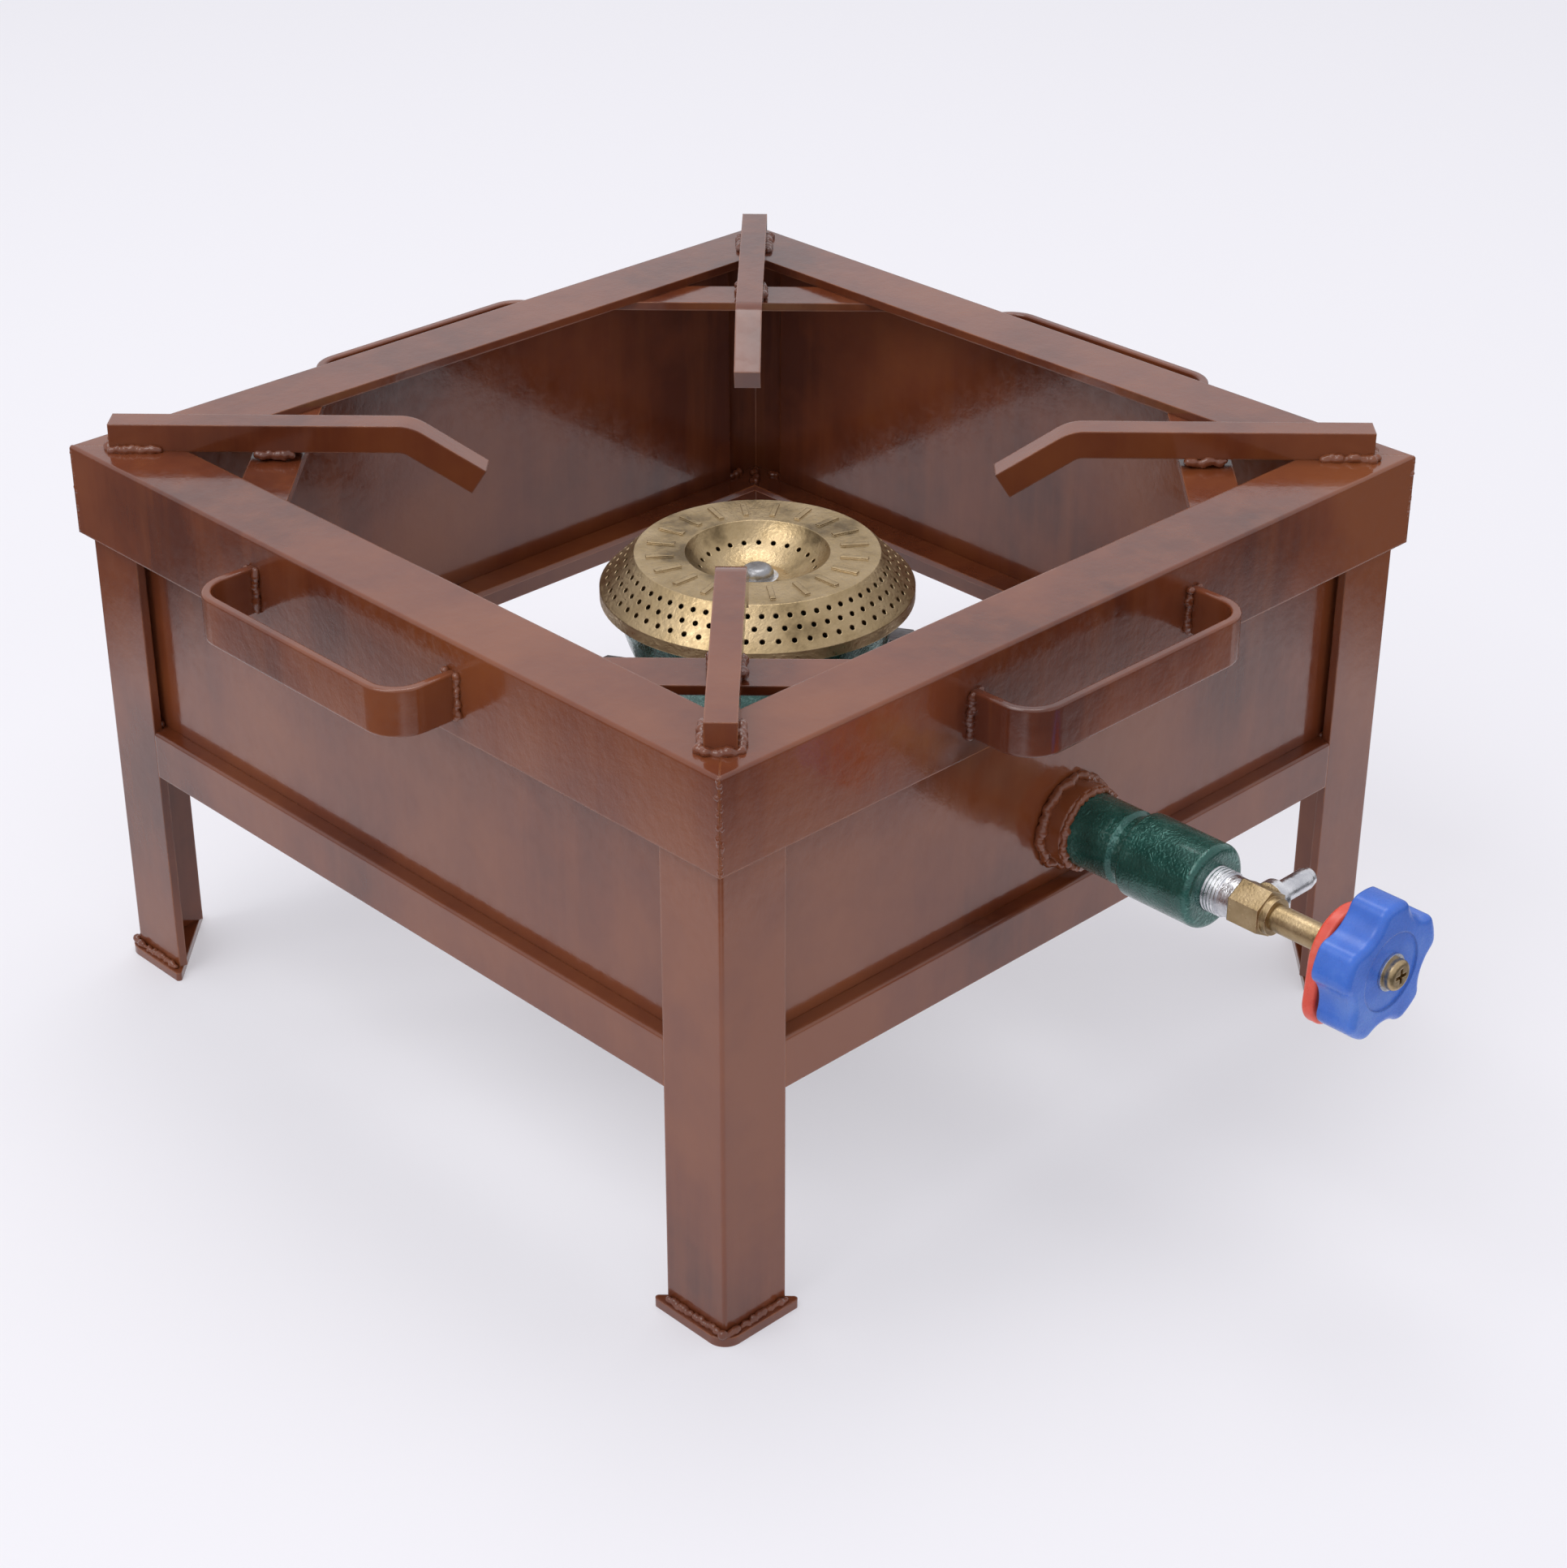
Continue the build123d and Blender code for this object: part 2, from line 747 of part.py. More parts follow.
export_step(jet_adapter.part, "parts/jet_adapter.step")

with BuildPart() as gas_jet:
    with BuildSketch(station(adapter_start - jet_hex_length)):
        RegularPolygon(jet_hex / 2, 6, major_radius=False)
    extrude(amount=jet_hex_length)
    with BuildSketch(station(adapter_start)):
        Circle(jet_thread / 2)
    extrude(amount=jet_thread_length)
    with BuildSketch(station(adapter_start - jet_hex_length)):
        Circle(jet_orifice / 2)
    extrude(amount=jet_hex_length + jet_thread_length, mode=Mode.SUBTRACT)
    with BuildSketch(station(adapter_start - jet_hex_length + jet_face)):
        Circle(jet_feed / 2)
    extrude(amount=jet_hex_length + jet_thread_length - jet_face, mode=Mode.SUBTRACT)
gas_jet.part.label = "gas_jet"
export_step(gas_jet.part, "parts/gas_jet.step")


# valve body: seat, chamber, side port for the nipple and a neck for the gland nut
spindle_bore = spindle_radius + spindle_clearance
seat_end = adapter_end + seat_length
port_radius = nipple_thread / 2 + fit_clearance
with BuildPart() as valve_body:
    with BuildSketch(station(adapter_end)):
        RegularPolygon(valve_hex / 2, 6, major_radius=False, rotation=30)
    extrude(amount=valve_hex_end - adapter_end)
    with BuildSketch(pipe_section):
        Polygon(*tube_profile(valve_hex_end, gland_start, 0, shoulder_diameter / 2), align=None)
        Polygon(*tube_profile(gland_start, gland_start + neck_length, 0, neck_diameter / 2), align=None)
    revolve(axis=pipe_axis)
    with BuildSketch(pipe_section):
        Polygon(*tube_profile(adapter_end, seat_end, 0, seat_bore / 2), align=None)
        Polygon(*tube_profile(seat_end, chamber_end, 0, chamber_bore / 2), align=None)
        Polygon(*tube_profile(chamber_end, gland_start + neck_length, 0, spindle_bore), align=None)
    revolve(axis=pipe_axis, mode=Mode.SUBTRACT)
    with BuildSketch(Plane(origin=(0, -nipple_place, pipe_height), z_dir=(1, 0, 0))):
        Circle(port_radius)
    extrude(amount=valve_hex, mode=Mode.SUBTRACT)
valve_body.part.label = "valve_body"
export_step(valve_body.part, "parts/valve_body.step")

# hose nipple, out of the valve body's right side
nipple_face = valve_hex / 2
nipple_radius = nipple_tube / 2
with BuildPart() as hose_nipple:
    with BuildSketch(station(nipple_place)):
        Polygon(
            (nipple_face - nipple_thread_depth, nipple_bore / 2),
            (nipple_reach, nipple_bore / 2),
            (nipple_reach, nipple_radius - nipple_taper),
            (nipple_reach - nipple_taper_length, nipple_radius),
            (nipple_face + nipple_collar_length, nipple_radius),
            (nipple_face + nipple_collar_length, nipple_collar / 2),
            (nipple_face, nipple_collar / 2),
            (nipple_face, nipple_thread / 2),
            (nipple_face - nipple_thread_depth, nipple_thread / 2),
            align=None,
        )
    revolve(axis=Axis((0, -nipple_place, pipe_height), (1, 0, 0)))
hose_nipple.part.label = "hose_nipple"
export_step(hose_nipple.part, "parts/hose_nipple.step")

# gland nut over the neck, with the packing ring inside it
neck_end = gland_start + neck_length
packing_bore = neck_diameter / 2 + fit_clearance
with BuildPart() as gland_nut:
    with BuildSketch(pipe_section):
        Polygon(
            (gland_start, packing_bore),
            (gland_end - gland_cap_length, packing_bore),
            (gland_end - gland_cap_length, spindle_bore),
            (gland_end, spindle_bore),
            (gland_end, gland_diameter / 2),
            (gland_start, gland_diameter / 2),
            align=None,
        )
    revolve(axis=pipe_axis)
    chamfer(gland_nut.edges().group_by(Axis.Y)[0].sort_by(SortBy.LENGTH)[-1], 0.6)
gland_nut.part.label = "gland_nut"
export_step(gland_nut.part, "parts/gland_nut.step")

with BuildPart() as gland_packing:
    with BuildSketch(pipe_section):
        Polygon(
            *tube_profile(neck_end, neck_end + packing_length, spindle_bore, neck_diameter / 2),
            align=None,
        )
    revolve(axis=pipe_axis)
gland_packing.part.label = "gland_packing"
export_step(gland_packing.part, "parts/gland_packing.step")


# needle: a cone just off its seat, on the inner end of the spindle
seat_radius = seat_bore / 2 - seat_clearance
cone_base = needle_start - needle_length
cone_base_radius = seat_radius + needle_slope * (cone_base - seat_end)
cone_tip = seat_end - (seat_radius - needle_tip) / needle_slope
with BuildPart() as needle:
    with BuildSketch(pipe_section):
        Polygon(
            (cone_tip, 0),
            (cone_tip, needle_tip),
            (cone_base, cone_base_radius),
            (cone_base, needle_diameter / 2),
            (needle_start, needle_diameter / 2),
            (needle_start, 0),
            align=None,
        )
    revolve(axis=pipe_axis)
needle.part.label = "valve_needle"
export_step(needle.part, "parts/valve_needle.step")

screw_bore = knob_screw_thread / 2 + spindle_clearance
screw_end = recess_floor - knob_screw_length
with BuildPart() as spindle:
    with BuildSketch(pipe_section):
        Polygon(
            (needle_start, 0),
            (needle_start, spindle_radius),
            (spindle_end, spindle_radius),
            (spindle_end, screw_bore),
            (screw_end, screw_bore),
            (screw_end, 0),
            align=None,
        )
    revolve(axis=pipe_axis)
spindle.part.label = "spindle"
export_step(spindle.part, "parts/spindle.step")


# red pointer plate: a disc with one long lobe, behind the knob
with BuildPart() as pointer_plate:
    with BuildSketch(station(pointer_start)):
        Circle(pointer_radius)
        with PolarLocations(pointer_lobe_place, 1, start_angle=pointer_lobe_angle):
            Circle(pointer_lobe_radius)
        make_hull()
    extrude(amount=pointer_thickness)
    fillet(pointer_plate.edges(), pointer_round)
    with BuildSketch(station(pointer_start)):
        Circle(spindle_bore)
    extrude(amount=pointer_thickness, mode=Mode.SUBTRACT)
pointer_plate.part.label = "pointer_plate"
export_step(pointer_plate.part, "parts/pointer_plate.step")

# blue knob: a disc with scallops between its lobes, a hub behind and a pocket round the hub
scallop_place = knob_valley + scallop_radius
first_valley = knob_lobe_angle + 180 / knob_lobes
pointer_end = pointer_start + pointer_thickness
with BuildPart() as knob:
    with BuildSketch(station(knob_start, first_valley)) as knob_outline:
        Circle(knob_radius)
        with PolarLocations(scallop_place, knob_lobes):
            Circle(scallop_radius, mode=Mode.SUBTRACT)
        fillet(knob_outline.vertices(), knob_corner)
    extrude(amount=knob_thickness)
    fillet(knob.edges().group_by(Axis.Y)[0], knob_round)
    with BuildSketch(station(knob_start)):
        Circle(knob_pocket_radius)
    extrude(amount=knob_pocket_depth, mode=Mode.SUBTRACT)
    with BuildSketch(station(pointer_end)):
        Circle(knob_hub)
    extrude(amount=knob_front - pointer_end - knob_recess_depth)
    with BuildSketch(station(recess_floor)):
        Circle(knob_recess_radius)
    extrude(amount=knob_recess_depth, mode=Mode.SUBTRACT)
    with BuildSketch(station(pointer_end)):
        Circle(spindle_bore)
    extrude(amount=spindle_end - pointer_end, mode=Mode.SUBTRACT)
    with BuildSketch(station(spindle_end)):
        Circle(screw_bore)
    extrude(amount=recess_floor - spindle_end, mode=Mode.SUBTRACT)
knob.part.label = "knob"
export_step(knob.part, "parts/knob.step")

# screw and washer that hold the knob on the spindle
with BuildPart() as knob_washer:
    with BuildSketch(station(recess_floor)):
        Circle(knob_washer_diameter / 2)
        Circle(screw_bore, mode=Mode.SUBTRACT)
    extrude(amount=knob_washer_thickness)
knob_washer.part.label = "knob_washer"
export_step(knob_washer.part, "parts/knob_washer.step")

head_start = recess_floor + knob_washer_thickness
with BuildPart() as knob_screw:
    with BuildSketch(station(head_start)):
        Circle(knob_screw_head / 2)
    extrude(amount=knob_screw_head_height)
    fillet(knob_screw.edges().group_by(Axis.Y)[0], knob_screw_head_height * 0.5)
    with BuildSketch(station(screw_end)):
        Circle(knob_screw_thread / 2)
    extrude(amount=head_start - screw_end)
    with BuildSketch(station(head_start + knob_screw_head_height)):
        Rectangle(knob_screw_slot, knob_screw_slot_width)
        Rectangle(knob_screw_slot_width, knob_screw_slot)
    extrude(amount=-knob_screw_slot_depth, mode=Mode.SUBTRACT)
knob_screw.part.label = "knob_screw"
export_step(knob_screw.part, "parts/knob_screw.step")
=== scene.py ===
import json
import math
import random

import bpy
from mathutils import Matrix, Vector


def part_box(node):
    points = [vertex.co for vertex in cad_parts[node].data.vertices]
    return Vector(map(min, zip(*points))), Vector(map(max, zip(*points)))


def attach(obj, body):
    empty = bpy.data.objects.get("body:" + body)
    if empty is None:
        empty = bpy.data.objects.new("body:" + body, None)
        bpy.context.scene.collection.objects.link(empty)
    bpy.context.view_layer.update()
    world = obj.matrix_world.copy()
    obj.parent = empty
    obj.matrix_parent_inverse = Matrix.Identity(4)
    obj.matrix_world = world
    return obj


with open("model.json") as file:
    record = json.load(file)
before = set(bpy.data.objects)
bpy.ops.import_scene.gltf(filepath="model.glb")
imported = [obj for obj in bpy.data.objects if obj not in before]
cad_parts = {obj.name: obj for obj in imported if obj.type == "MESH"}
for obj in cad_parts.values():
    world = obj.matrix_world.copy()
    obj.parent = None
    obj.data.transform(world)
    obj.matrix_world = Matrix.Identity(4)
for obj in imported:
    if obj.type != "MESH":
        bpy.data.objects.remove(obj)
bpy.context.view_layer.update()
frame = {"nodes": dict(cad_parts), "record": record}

# Propane burner stand: finishes, weld beads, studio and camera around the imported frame.
# Everything is in metres, with +Z up and the valve on the -Y side.

cadNodes = frame["nodes"]
cornerTurns = {"front_left": 0, "front_right": 90, "back_right": 180, "back_left": 270}
sideTurns = {"front": 0, "right": 90, "back": 180, "left": 270}
print("frame loaded:", len(cadNodes), "nodes")


# shader helpers
def addNode(tree, kind, inputs=None, **settings):
    node = tree.nodes.new(kind)
    for name, value in settings.items():
        setattr(node, name, value)
    for name, value in (inputs or {}).items():
        if isinstance(value, bpy.types.NodeSocket):
            tree.links.new(value, node.inputs[name])
        else:
            node.inputs[name].default_value = value
    return node


def rampColors(tree, factor, stops):
    ramp = addNode(tree, "ShaderNodeValToRGB", {"Fac": factor})
    for extra in range(len(stops) - 2):
        ramp.color_ramp.elements.new(0.5)
    for element, (place, color) in zip(ramp.color_ramp.elements, stops):
        element.position = place
        element.color = (*color, 1)
    return ramp.outputs["Color"]


def mixColor(tree, factor, first, second):
    mix = addNode(tree, "ShaderNodeMix", data_type="RGBA", blend_type="MIX")
    for socket, value in ((mix.inputs[0], factor), (mix.inputs[6], first), (mix.inputs[7], second)):
        if isinstance(value, bpy.types.NodeSocket):
            tree.links.new(value, socket)
        else:
            socket.default_value = (*value, 1) if isinstance(value, tuple) else value
    return mix.outputs[2]


def mapRange(tree, value, low, high, newLow=0.0, newHigh=1.0):
    node = addNode(tree, "ShaderNodeMapRange", {0: value, 1: low, 2: high, 3: newLow, 4: newHigh})
    return node.outputs[0]


def noise(tree, coordinates, scale, detail=3.0, roughness=0.5):
    node = addNode(
        tree,
        "ShaderNodeTexNoise",
        {"Vector": coordinates, "Scale": scale, "Detail": detail, "Roughness": roughness},
    )
    return node.outputs["Fac"]


def bump(tree, height, strength, distance, normal):
    inputs = {"Height": height, "Strength": strength, "Distance": distance, "Normal": normal}
    return addNode(tree, "ShaderNodeBump", inputs).outputs["Normal"]


def newGroup(name, inputs, outputs):
    group = bpy.data.node_groups.new(name, "ShaderNodeTree")
    for socketName, kind, value in inputs:
        socket = group.interface.new_socket(socketName, in_out="INPUT", socket_type=kind)
        socket.default_value = value
    for socketName, kind in outputs:
        group.interface.new_socket(socketName, in_out="OUTPUT", socket_type=kind)
    return group, group.nodes.new("NodeGroupInput").outputs, group.nodes.new("NodeGroupOutput").inputs


# rounded edges: a softened normal and a mask that is 1 where two faces meet
def makeEdgeGroup():
    group, given, result = newGroup(
        "softEdges",
        [("Radius", "NodeSocketFloat", 0.001)],
        [("Mask", "NodeSocketFloat"), ("Normal", "NodeSocketVector")],
    )
    bevel = addNode(group, "ShaderNodeBevel", {"Radius": given["Radius"]}, samples=6)
    geometry = addNode(group, "ShaderNodeNewGeometry")
    closeness = addNode(group, "ShaderNodeVectorMath", operation="DOT_PRODUCT")
    group.links.new(bevel.outputs["Normal"], closeness.inputs[0])
    group.links.new(geometry.outputs["True Normal"], closeness.inputs[1])
    group.links.new(mapRange(group, closeness.outputs["Value"], 0.995, 0.8), result["Mask"])
    group.links.new(bevel.outputs["Normal"], result["Normal"])
    return group


# broad patches and fine grain, both between 0 and 1
def makePatchGroup():
    group, given, result = newGroup(
        "patchAndGrain",
        [("Patch Scale", "NodeSocketFloat", 10.0), ("Grain Scale", "NodeSocketFloat", 200.0)],
        [("Patch", "NodeSocketFloat"), ("Grain", "NodeSocketFloat")],
    )
    place = addNode(group, "ShaderNodeTexCoord").outputs["Object"]
    patch = noise(group, place, given["Patch Scale"], 5.0, 0.55)
    grain = noise(group, place, given["Grain Scale"], 3.0, 0.6)
    group.links.new(mapRange(group, patch, 0.35, 0.65), result["Patch"])
    group.links.new(mapRange(group, grain, 0.3, 0.7), result["Grain"])
    return group


edgeGroup = makeEdgeGroup()
patchGroup = makePatchGroup()


def useGroup(tree, group, **values):
    node = addNode(tree, "ShaderNodeGroup", node_tree=group)
    for name, value in values.items():
        node.inputs[name.replace("_", " ")].default_value = value
    return node.outputs


def newMaterial(name):
    material = bpy.data.materials.new(name)
    material.use_nodes = True
    tree = material.node_tree
    shader = tree.nodes["Principled BSDF"]
    return material, tree, shader, tree.links


enamel = {
    "deep": (0.085, 0.020, 0.009),
    "body": (0.150, 0.037, 0.014),
    "warm": (0.200, 0.056, 0.018),
    "thinEdge": (0.36, 0.115, 0.038),
    "patchScale": 9.0,
    "peelScale": 210.0,
    "roughness": (0.10, 0.24),
    "edgeRadius": 0.0011,
    "runStretch": (70.0, 70.0, 6.0),
    "wearScale": 60.0,
    "waveScale": 22.0,
    "coat": 0.35,
    "coatRoughness": 0.06,
}


def makeEnamel():
    material, tree, shader, links = newMaterial("brownEnamel")
    place = addNode(tree, "ShaderNodeTexCoord").outputs["Object"]
    patches = useGroup(
        tree, patchGroup, Patch_Scale=enamel["patchScale"], Grain_Scale=enamel["peelScale"]
    )
    edges = useGroup(tree, edgeGroup, Radius=enamel["edgeRadius"])
    runs = addNode(
        tree, "ShaderNodeMapping", {"Vector": place, "Scale": enamel["runStretch"]}
    ).outputs[0]
    runMask = noise(tree, runs, 1.0, 4.0, 0.6)
    body = rampColors(
        tree,
        patches["Patch"],
        [(0.0, enamel["deep"]), (0.5, enamel["body"]), (1.0, enamel["warm"])],
    )
    streaked = mixColor(tree, mapRange(tree, runMask, 0.45, 0.75, 0.0, 0.5), body, enamel["warm"])
    wearNoise = mapRange(tree, noise(tree, place, enamel["wearScale"], 4.0, 0.6), 0.35, 0.6, 0.15, 1.0)
    wear = addNode(
        tree, "ShaderNodeMath", {0: edges["Mask"], 1: wearNoise}, operation="MULTIPLY"
    ).outputs[0]
    links.new(mixColor(tree, wear, streaked, enamel["thinEdge"]), shader.inputs["Base Color"])
    low, high = enamel["roughness"]
    links.new(mapRange(tree, patches["Grain"], 0.0, 1.0, low, high), shader.inputs["Roughness"])
    shader.inputs["Coat Weight"].default_value = enamel["coat"]
    shader.inputs["Coat Roughness"].default_value = enamel["coatRoughness"]
    wavy = bump(tree, noise(tree, place, enamel["waveScale"], 2.0), 0.25, 0.0012, edges["Normal"])
    running = bump(tree, runMask, 0.12, 0.0006, wavy)
    links.new(bump(tree, patches["Grain"], 0.16, 0.00025, running), shader.inputs["Normal"])
    return material


brassLook = {
    "bright": (0.54, 0.41, 0.24),
    "body": (0.41, 0.30, 0.16),
    "tarnish": (0.19, 0.135, 0.07),
    "roughness": (0.26, 0.48),
}


def makeBrass(name, patchScale, grainScale, grainDepth):
    material, tree, shader, links = newMaterial(name)
    patches = useGroup(tree, patchGroup, Patch_Scale=patchScale, Grain_Scale=grainScale)
    edges = useGroup(tree, edgeGroup, Radius=0.0006)
    body = rampColors(
        tree,
        patches["Patch"],
        [(0.0, brassLook["tarnish"]), (0.35, brassLook["body"]), (1.0, brassLook["bright"])],
    )
    links.new(mixColor(tree, edges["Mask"], body, brassLook["bright"]), shader.inputs["Base Color"])
    shader.inputs["Metallic"].default_value = 1.0
    low, high = brassLook["roughness"]
    links.new(mapRange(tree, patches["Grain"], 0.0, 1.0, low, high), shader.inputs["Roughness"])
    links.new(bump(tree, patches["Grain"], 0.4, grainDepth, edges["Normal"]), shader.inputs["Normal"])
    return material


hammerGreen = {
    "shade": (0.009, 0.062, 0.048),
    "body": (0.026, 0.135, 0.108),
    "fleck": (0.13, 0.29, 0.25),
    "cellScale": 760.0,
    "warpScale": 160.0,
    "warp": 0.012,
    "metallic": 0.45,
    "coat": 0.5,
    "coatRoughness": 0.12,
}


def makeHammerGreen():
    material, tree, shader, links = newMaterial("hammeredGreen")
    place = addNode(tree, "ShaderNodeTexCoord").outputs["Object"]
    patches = useGroup(tree, patchGroup, Patch_Scale=35.0, Grain_Scale=500.0)
    edges = useGroup(tree, edgeGroup, Radius=0.0008)
    warp = addNode(
        tree, "ShaderNodeTexNoise", {"Vector": place, "Scale": hammerGreen["warpScale"], "Detail": 2.0}
    ).outputs["Color"]
    warped = addNode(tree, "ShaderNodeMix", {0: hammerGreen["warp"]}, data_type="VECTOR")
    links.new(place, warped.inputs[4])
    links.new(warp, warped.inputs[5])
    cells = addNode(
        tree,
        "ShaderNodeTexVoronoi",
        {"Vector": warped.outputs[1], "Scale": hammerGreen["cellScale"]},
        feature="SMOOTH_F1",
    ).outputs["Distance"]
    body = mixColor(tree, patches["Patch"], hammerGreen["shade"], hammerGreen["body"])
    flecks = addNode(
        tree,
        "ShaderNodeMath",
        {0: mapRange(tree, cells, 0.42, 0.62), 1: mapRange(tree, patches["Patch"], 0.5, 1.0)},
        operation="MULTIPLY",
    ).outputs[0]
    links.new(mixColor(tree, flecks, body, hammerGreen["fleck"]), shader.inputs["Base Color"])
    links.new(mapRange(tree, patches["Grain"], 0.0, 1.0, 0.18, 0.36), shader.inputs["Roughness"])
    shader.inputs["Metallic"].default_value = hammerGreen["metallic"]
    shader.inputs["Coat Weight"].default_value = hammerGreen["coat"]
    shader.inputs["Coat Roughness"].default_value = hammerGreen["coatRoughness"]
    links.new(bump(tree, cells, 0.5, 0.0005, edges["Normal"]), shader.inputs["Normal"])
    return material


def makeMetal(name, dark, bright, roughness, grainScale, depth):
    material, tree, shader, links = newMaterial(name)
    patches = useGroup(tree, patchGroup, Patch_Scale=90.0, Grain_Scale=grainScale)
    edges = useGroup(tree, edgeGroup, Radius=0.0004)
    links.new(mixColor(tree, patches["Patch"], dark, bright), shader.inputs["Base Color"])
    shader.inputs["Metallic"].default_value = 1.0
    links.new(mapRange(tree, patches["Grain"], 0.0, 1.0, *roughness), shader.inputs["Roughness"])
    links.new(bump(tree, patches["Grain"], 0.5, depth, edges["Normal"]), shader.inputs["Normal"])
    return material


def makePlastic(name, shade, body, pale, roughness):
    material, tree, shader, links = newMaterial(name)
    patches = useGroup(tree, patchGroup, Patch_Scale=38.0, Grain_Scale=500.0)
    edges = useGroup(tree, edgeGroup, Radius=0.0009)
    color = rampColors(tree, patches["Patch"], [(0.0, shade), (0.5, body), (1.0, pale)])
    rubbed = addNode(
        tree, "ShaderNodeMath", {0: edges["Mask"], 1: 0.45}, operation="MULTIPLY"
    ).outputs[0]
    links.new(mixColor(tree, rubbed, color, pale), shader.inputs["Base Color"])
    links.new(mapRange(tree, patches["Grain"], 0.0, 1.0, *roughness), shader.inputs["Roughness"])
    shader.inputs["Subsurface Weight"].default_value = 0.08
    shader.inputs["Subsurface Scale"].default_value = 0.002
    links.new(bump(tree, patches["Grain"], 0.06, 0.0001, edges["Normal"]), shader.inputs["Normal"])
    return material


finishes = {
    "brown_enamel": makeEnamel(),
    "green_paint": makeHammerGreen(),
    "brass": makeBrass("turnedBrass", 60.0, 900.0, 0.00010),
    "zinc": makeMetal(
        "zincPlate", (0.55, 0.56, 0.59), (0.86, 0.865, 0.88), (0.18, 0.42), 420.0, 0.0002
    ),
    "dark_steel": makeMetal(
        "dullSteel", (0.16, 0.15, 0.15), (0.36, 0.36, 0.37), (0.3, 0.5), 600.0, 0.00015
    ),
    "steel": makeMetal(
        "turnedSteel", (0.4, 0.4, 0.41), (0.65, 0.65, 0.66), (0.2, 0.35), 700.0, 0.0001
    ),
    "packing": makePlastic(
        "graphitePacking", (0.01, 0.01, 0.01), (0.02, 0.02, 0.02), (0.04, 0.04, 0.04), (0.6, 0.8)
    ),
    "blue_plastic": makePlastic(
        "bluePlastic", (0.034, 0.120, 0.50), (0.048, 0.155, 0.60), (0.10, 0.22, 0.64), (0.24, 0.32)
    ),
    "red_plastic": makePlastic(
        "redPlastic", (0.62, 0.06, 0.035), (0.80, 0.10, 0.06), (0.86, 0.26, 0.19), (0.24, 0.38)
    ),
}
capBrass = makeBrass("castBrass", 42.0, 620.0, 0.00022)
slotOfNode = {entry["node"]: entry["material_slot"] for entry in frame["record"]["subparts"]}


def paintNodes():
    for name, obj in cadNodes.items():
        material = capBrass if name == "burner_cap" else finishes[slotOfNode[name]]
        for slot in obj.material_slots:
            slot.material = material


paintNodes()
print("finishes done")


# mesh helpers
def clearSelection():
    if bpy.context.mode != "OBJECT":
        bpy.ops.object.mode_set(mode="OBJECT")
    bpy.ops.object.select_all(action="DESELECT")


def applyModifiers(obj):
    bpy.context.view_layer.objects.active = obj
    for modifier in list(obj.modifiers):
        bpy.ops.object.modifier_apply(modifier=modifier.name)


def finishPiece(obj, name, slot, body="stand"):
    clearSelection()
    obj.select_set(True)
    bpy.context.view_layer.objects.active = obj
    bpy.ops.object.transform_apply(location=True, rotation=True, scale=True)
    obj.name = name
    obj.data.name = name
    obj.data.materials.clear()
    obj.data.materials.append(finishes[slot])
    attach(obj, body)
    return obj


def turnedCopy(obj, name, turn):
    copy = obj.copy()
    copy.data = obj.data.copy()
    bpy.context.collection.objects.link(copy)
    copy.data.transform(Matrix.Rotation(math.radians(turn), 4, "Z"))
    copy.name = name
    copy.data.name = name
    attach(copy, "stand")
    return copy


# a weld bead: overlapping drops laid along a path, melted together
weld = {
    "dropSpacing": 0.42,
    "dropSpread": 0.16,
    "sizeSpread": 0.22,
    "voxel": 0.11,
}


def dropPlaces(path, spacing):
    places = []
    for first, second in zip(path, path[1:]):
        start, end = Vector(first), Vector(second)
        count = max(1, round((end - start).length / spacing))
        places += [start.lerp(end, index / count) for index in range(count)]
    return places + [Vector(path[-1])]


def weldBead(name, paths, width, seed):
    chance = random.Random(seed)
    drops = []
    clearSelection()
    for path in paths:
        for place in dropPlaces(path, width * weld["dropSpacing"]):
            shift = Vector([chance.uniform(-1, 1) for axis in range(3)]) * width * weld["dropSpread"]
            size = width / 2 * chance.uniform(1 - weld["sizeSpread"], 1 + weld["sizeSpread"])
            bpy.ops.mesh.primitive_ico_sphere_add(subdivisions=2, radius=size, location=place + shift)
            bpy.context.object.scale = [chance.uniform(0.85, 1.15) for axis in range(3)]
            drops.append(bpy.context.object)
    for drop in drops:
        drop.select_set(True)
    bpy.context.view_layer.objects.active = drops[0]
    bpy.ops.object.join()
    bead = bpy.context.object
    bpy.ops.object.transform_apply(location=True, rotation=True, scale=True)
    melt = bead.modifiers.new("melt", "REMESH")
    melt.mode = "VOXEL"
    melt.voxel_size = width * weld["voxel"]
    melt.use_smooth_shade = True
    smooth = bead.modifiers.new("smooth", "SMOOTH")
    smooth.factor = 0.5
    smooth.iterations = 3
    applyModifiers(bead)
    return finishPiece(bead, name, "brown_enamel")


def millimetres(*points):
    return [tuple(value / 1000 for value in point) for point in points]


def alongDiagonal(distance, aside, height):
    half = math.sqrt(0.5)
    return ((-distance + aside) * half, (-distance - aside) * half, height)


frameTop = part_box("top_rail_front")[1].z * 1000

# welds: places in millimetres, for the front left corner, the front side and the pipe
supportWeld = {"start": 243, "stop": 263, "aside": 6.8, "lift": 0.8, "width": 4.2, "seed": 3}
supportTip = {"distance": 265, "aside": 5, "lift": 0.6}
braceWeld = {"start": 188, "stop": 202, "aside": 5.5, "drop": 1.6, "width": 4.0, "seed": 5}
footWeld = {"edge": 197.2, "start": 165, "stop": 196, "height": 4.6, "width": 3.2, "seed": 7}
cornerWeld = {"edge": 199.0, "bottom": 212, "top": 249.0, "width": 2.4, "seed": 9}
railWeld = {
    "paths": (
        ((-186, -186, 125.4), (-176, -176, 125.4)),
        ((-190, -166, 125.6), (-190, -178, 125.6)),
        ((-166, -190, 125.6), (-178, -190, 125.6)),
    ),
    "width": 4.0,
    "seed": 11,
}
